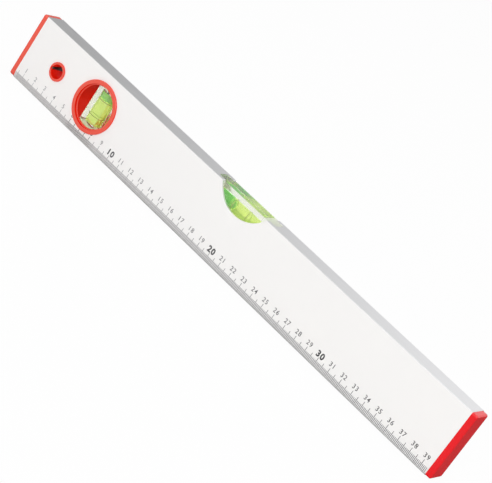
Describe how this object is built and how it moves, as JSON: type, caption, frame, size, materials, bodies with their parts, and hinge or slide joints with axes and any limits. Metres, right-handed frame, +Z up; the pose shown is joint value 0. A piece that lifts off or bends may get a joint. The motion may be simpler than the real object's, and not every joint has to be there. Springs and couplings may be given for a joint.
{
  "type": "spirit level",
  "caption": "Box-section aluminium spirit level with a ruler edge, a horizontal block vial in a half-round notch, a plumb vial in a round bezel and a hanging hole.",
  "frame": {"origin": "centre of the measuring base, midway between the ends and between the faces", "axes": "+X along the length away from the plumb vial's end, +Y away from the face with the scale, +Z up towards the horizontal vial"},
  "size_m": [0.4012, 0.018, 0.048],
  "materials": {
    "lacquered_aluminium": "white lacquered sides, bare milled top and base",
    "red_plastic": "moulded, semi-gloss",
    "clear_acrylic": "polished clear block",
    "vial_liquid": "yellow-green liquid",
    "air_bubble": "air, seen through green liquid",
    "black_line": "ring line",
    "seal_plastic": "seal pin",
    "cradle_plastic": "moulded, hidden inside"
  },
  "bodies": {
    "level_body": {"body_profile": "lacquered_aluminium", "end_cap_left": "red_plastic", "end_cap_right": "red_plastic", "hanging_bush": "red_plastic", "plumb_bezel_front": "red_plastic", "plumb_bezel_back": "red_plastic", "plumb_vial_block": "clear_acrylic", "plumb_vial_plug": "clear_acrylic", "plumb_seal_pin": "seal_plastic", "plumb_vial_liquid": "vial_liquid", "plumb_line_lower": "black_line", "plumb_line_upper": "black_line", "level_vial_block": "clear_acrylic", "level_vial_plug": "clear_acrylic", "level_seal_pin": "seal_plastic", "level_vial_liquid": "vial_liquid", "level_line_left": "black_line", "level_line_right": "black_line", "level_vial_cradle": "cradle_plastic"},
    "horizontal_bubble": {"level_bubble": "air_bubble"},
    "upright_bubble": {"plumb_bubble": "air_bubble"}
  },
  "joints": [
    {"name": "horizontal_bubble_travel", "type": "slide", "parent": "level_body", "child": "horizontal_bubble", "axis": [1, 0, 0], "range_m": [0, 0.02216]},
    {"name": "plumb_bubble_travel", "type": "slide", "parent": "level_body", "child": "upright_bubble", "axis": [0, 0, 1], "range_m": [-0.01816, 0], "stiffness_N_per_m": 0.2, "springref_m": 0.02}
  ]
}
